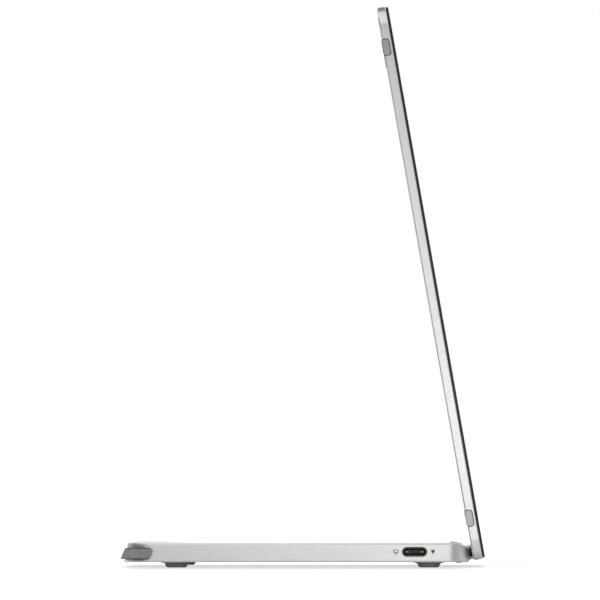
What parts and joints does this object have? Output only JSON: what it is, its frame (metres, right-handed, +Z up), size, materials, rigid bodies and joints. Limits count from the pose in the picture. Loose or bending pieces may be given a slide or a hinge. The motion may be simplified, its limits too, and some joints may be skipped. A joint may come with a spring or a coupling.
{
  "type": "portable monitor",
  "caption": "Slim portable monitor whose folding base is also its back cover: a glass-fronted aluminium panel on a friction hinge, with plug-in ports and buttons in the base.",
  "frame": {"origin": "centre of the bounding box at the soles of the feet, with the panel open at 80 degrees to the base", "axes": "+X along the hinge, to the viewer's right when looking at the screen; +Y from the screen towards the far end of the base; +Z up"},
  "size_m": [0.3238, 0.1337, 0.2059],
  "materials": {
    "anodised_aluminium": "fine bead-blasted, silver anodised",
    "grip_rubber": "matt grey",
    "pad_rubber": "matt light grey",
    "foot_rubber": "matt dark grey",
    "bezel_plastic": "dark grey",
    "black_plastic": "black",
    "plated_steel": "nickel plated",
    "screw_steel": "zinc plated",
    "contact_gold": "gold plated",
    "circuit_board": "green solder mask",
    "chip_black": "moulded epoxy",
    "socket_plastic": "ivory",
    "ribbon_film": "white film",
    "cable_film": "black shielding film",
    "cover_glass": "clear glass printed black behind its border",
    "bond_film": "clear adhesive",
    "cell_glass": "dark display cell",
    "optical_sheet": "white diffusing film",
    "guide_acrylic": "clear acrylic",
    "led_flex": "yellow flexible circuit"
  },
  "bodies": {
    "base": {"base_housing": "anodised_aluminium", "base_cover": "anodised_aluminium", "cover_screws": "screw_steel", "foot_hinge_left": "foot_rubber", "foot_hinge_right": "foot_rubber", "foot_far_left": "foot_rubber", "foot_far_right": "foot_rubber", "end_grip": "grip_rubber", "port_bezel_left": "bezel_plastic", "port_bezel_right": "bezel_plastic", "port_shell_left": "plated_steel", "port_shell_right": "plated_steel", "port_tongue_left": "black_plastic", "port_tongue_right": "black_plastic", "port_contacts_left": "contact_gold", "port_contacts_right": "contact_gold", "main_board": "circuit_board", "board_chips": "chip_black", "power_coils": "chip_black", "shield_can": "plated_steel", "board_sockets": "socket_plastic", "side_board": "circuit_board", "side_switches": "black_plastic", "side_ribbon": "ribbon_film", "button_carrier": "black_plastic", "board_screws": "screw_steel", "hinge_leaf_left": "plated_steel", "hinge_leaf_right": "plated_steel", "leaf_screws": "screw_steel", "display_cable_base": "cable_film"},
    "panel": {"hinge_shaft_left": "plated_steel", "hinge_shaft_right": "plated_steel", "friction_discs_left": "plated_steel", "friction_discs_right": "plated_steel", "hinge_nut_left": "plated_steel", "hinge_nut_right": "plated_steel", "hinge_arm_left": "plated_steel", "hinge_arm_right": "plated_steel", "hinge_rivets": "plated_steel", "hinge_barrel": "anodised_aluminium", "barrel_cap_left": "black_plastic", "barrel_cap_right": "black_plastic", "display_cable_panel": "cable_film", "panel_tray": "anodised_aluminium", "cover_glass": "cover_glass", "optical_bond": "bond_film", "display_cell": "cell_glass", "optical_films": "optical_sheet", "light_guide": "guide_acrylic", "reflector_sheet": "optical_sheet", "led_strip": "led_flex", "display_frame": "black_plastic", "timing_board": "circuit_board", "panel_screws": "screw_steel", "side_pad_low_left": "pad_rubber", "side_pad_low_right": "pad_rubber", "side_pad_high_left": "pad_rubber", "side_pad_high_right": "pad_rubber"},
    "power_button": {"power_button": "anodised_aluminium"},
    "brightness_rocker": {"brightness_rocker": "anodised_aluminium"}
  },
  "joints": [
    {"name": "panel_tilt", "type": "hinge", "parent": "base", "child": "panel", "pos_m": [0, -0.05723, 0.0044], "axis": [1, 0, 0], "range_deg": [-80, 10]},
    {"name": "power_press", "type": "slide", "parent": "base", "child": "power_button", "axis": [-1, 0, 0], "range_m": [0, 0.00035], "stiffness_N_per_m": 3000},
    {"name": "brightness_rock", "type": "hinge", "parent": "base", "child": "brightness_rocker", "pos_m": [0.15895, -0.00318, 0.00545], "axis": [0, 0, 1], "range_deg": [-3, 3], "stiffness_Nm_per_rad": 0.1}
  ]
}
